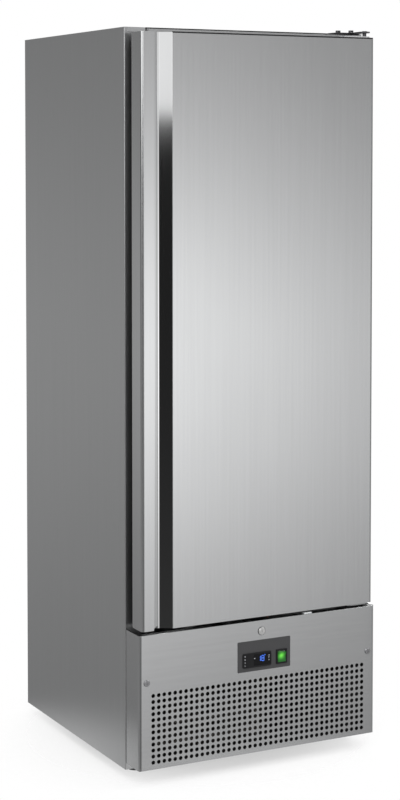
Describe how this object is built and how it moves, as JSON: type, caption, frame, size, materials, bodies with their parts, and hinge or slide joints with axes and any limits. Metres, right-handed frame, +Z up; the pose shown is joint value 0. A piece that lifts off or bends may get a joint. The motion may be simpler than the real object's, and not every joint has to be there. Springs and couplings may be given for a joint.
{
  "type": "snack freezer cabinet",
  "caption": "Upright freezer cabinet in folded steel: one full-height door with an integral handle, a perforated base panel with controls, wire shelves and a condensing unit.",
  "frame": {"origin": "on the floor, under the middle of the cabinet's bounding box", "axes": "+X to the right seen from the front, +Y to the back, +Z up; the door faces -Y"},
  "size_m": [0.68, 0.726, 1.8626],
  "materials": {
    "side_steel": "satin stainless, grain upright",
    "top_steel": "satin stainless",
    "door_steel": "satin stainless, grain upright",
    "panel_steel": "satin stainless, grain across",
    "recess_steel": "polished stainless",
    "hinge_steel": "zinc plated, bright",
    "galvanised": "galvanised sheet",
    "black_paint": "black enamel",
    "white_liner": "smooth white",
    "grey_plastic": "moulded",
    "foam": "rigid polyurethane foam",
    "plate_grey": "dark grey film",
    "black_plastic": "moulded black",
    "window": "clear dark window",
    "key_plastic": "soft keys",
    "green_lens": "lit translucent green",
    "lock_chrome": "nickel plated",
    "gasket_rubber": "dark magnetic gasket",
    "bush_plastic": "acetal",
    "shelf_coat": "plastic coated wire",
    "fin_metal": "bare fins",
    "condenser_metal": "dull fins",
    "fan_plastic": "moulded blades",
    "motor_paint": "motor enamel",
    "rubber_black": "moulded rubber",
    "copper_pipe": "bare copper",
    "foot_plastic": "moulded",
    "roller_plastic": "nylon"
  },
  "bodies": {
    "cabinet": {"side_panel_left": "side_steel", "side_panel_right": "side_steel", "top_panel": "top_steel", "back_panel": "galvanised", "rear_vent_cover": "galvanised", "cord_gland": "black_plastic", "floor_skin": "side_steel", "insulation": "foam", "liner": "white_liner", "breaker_strip": "grey_plastic", "base_tray": "galvanised", "base_panel": "panel_steel", "panel_brackets": "galvanised", "panel_screws": "hinge_steel", "control_plate": "plate_grey", "controller_case": "black_plastic", "display_window": "window", "switch_bezel": "black_plastic", "lock_body": "lock_chrome", "hinge_blank": "hinge_steel", "top_hinge_plate": "hinge_steel", "hinge_bolts": "hinge_steel", "hinge_pins": "hinge_steel", "bottom_hinge_bracket": "hinge_steel", "door_sensor": "white_liner", "shelf_uprights": "hinge_steel", "shelf_clips": "hinge_steel", "wire_shelves": "shelf_coat", "evaporator": "fin_metal", "evaporator_cover": "grey_plastic", "fan_motors": "motor_paint", "condensing_unit_base": "black_paint", "compressor_grommets": "rubber_black", "compressor": "black_paint", "condenser": "condenser_metal", "fan_shroud": "black_paint", "refrigerant_pipes": "copper_pipe"},
    "door": {"door_skin": "door_steel", "handle_wing": "door_steel", "grip_channel": "recess_steel", "door_end_plates": "door_steel", "door_insulation": "foam", "door_liner": "white_liner", "door_gasket": "gasket_rubber", "bush_plate": "hinge_steel", "door_bushes": "bush_plastic", "lock_keep": "galvanised"},
    "rocker": {"switch_rocker": "green_lens"},
    "key_1": {"controller_key_1": "key_plastic"},
    "key_2": {"controller_key_2": "key_plastic"},
    "key_3": {"controller_key_3": "key_plastic"},
    "key_4": {"controller_key_4": "key_plastic"},
    "lock": {"lock_plug": "lock_chrome", "lock_cam": "galvanised"},
    "condenser_fan": {"condenser_fan": "fan_plastic"},
    "evaporator_fan": {"evaporator_fan": "fan_plastic"},
    "foot_left": {"foot_left": "foot_plastic"},
    "foot_right": {"foot_right": "foot_plastic"},
    "roller_left": {"roller_left": "roller_plastic"},
    "roller_right": {"roller_right": "roller_plastic"}
  },
  "joints": [
    {"name": "door_hinge", "type": "hinge", "parent": "cabinet", "child": "door", "pos_m": [0.316, -0.33, 0.384], "axis": [0, 0, 1], "range_deg": [0, 110]},
    {"name": "rocker_tip", "type": "hinge", "parent": "cabinet", "child": "rocker", "pos_m": [0.0595, -0.3504, 0.2775], "axis": [1, 0, 0], "range_deg": [-12, 0]},
    {"name": "key_1_press", "type": "slide", "parent": "cabinet", "child": "key_1", "axis": [0, 1, 0], "range_m": [0, 0.0006], "stiffness_N_per_m": 500},
    {"name": "key_2_press", "type": "slide", "parent": "cabinet", "child": "key_2", "axis": [0, 1, 0], "range_m": [0, 0.0006], "stiffness_N_per_m": 500},
    {"name": "key_3_press", "type": "slide", "parent": "cabinet", "child": "key_3", "axis": [0, 1, 0], "range_m": [0, 0.0006], "stiffness_N_per_m": 500},
    {"name": "key_4_press", "type": "slide", "parent": "cabinet", "child": "key_4", "axis": [0, 1, 0], "range_m": [0, 0.0006], "stiffness_N_per_m": 500},
    {"name": "lock_turn", "type": "hinge", "parent": "cabinet", "child": "lock", "pos_m": [0.003, -0.345, 0.348], "axis": [0, -1, 0], "range_deg": [0, 90]},
    {"name": "condenser_fan_spin", "type": "hinge", "parent": "cabinet", "child": "condenser_fan", "pos_m": [-0.07, -0.151, 0.156], "axis": [0, 1, 0], "continuous": true},
    {"name": "evaporator_fan_spin", "type": "hinge", "parent": "cabinet", "child": "evaporator_fan", "pos_m": [0, -0.195, 1.722], "axis": [0, 1, 0], "continuous": true},
    {"name": "foot_left_screw", "type": "slide", "parent": "cabinet", "child": "foot_left", "axis": [0, 0, -1], "range_m": [0, 0.02]},
    {"name": "foot_right_screw", "type": "slide", "parent": "cabinet", "child": "foot_right", "axis": [0, 0, -1], "range_m": [0, 0.02]},
    {"name": "roller_left_spin", "type": "hinge", "parent": "cabinet", "child": "roller_left", "pos_m": [-0.265, 0.295, 0.018], "axis": [1, 0, 0], "continuous": true},
    {"name": "roller_right_spin", "type": "hinge", "parent": "cabinet", "child": "roller_right", "pos_m": [0.265, 0.295, 0.018], "axis": [1, 0, 0], "continuous": true}
  ]
}
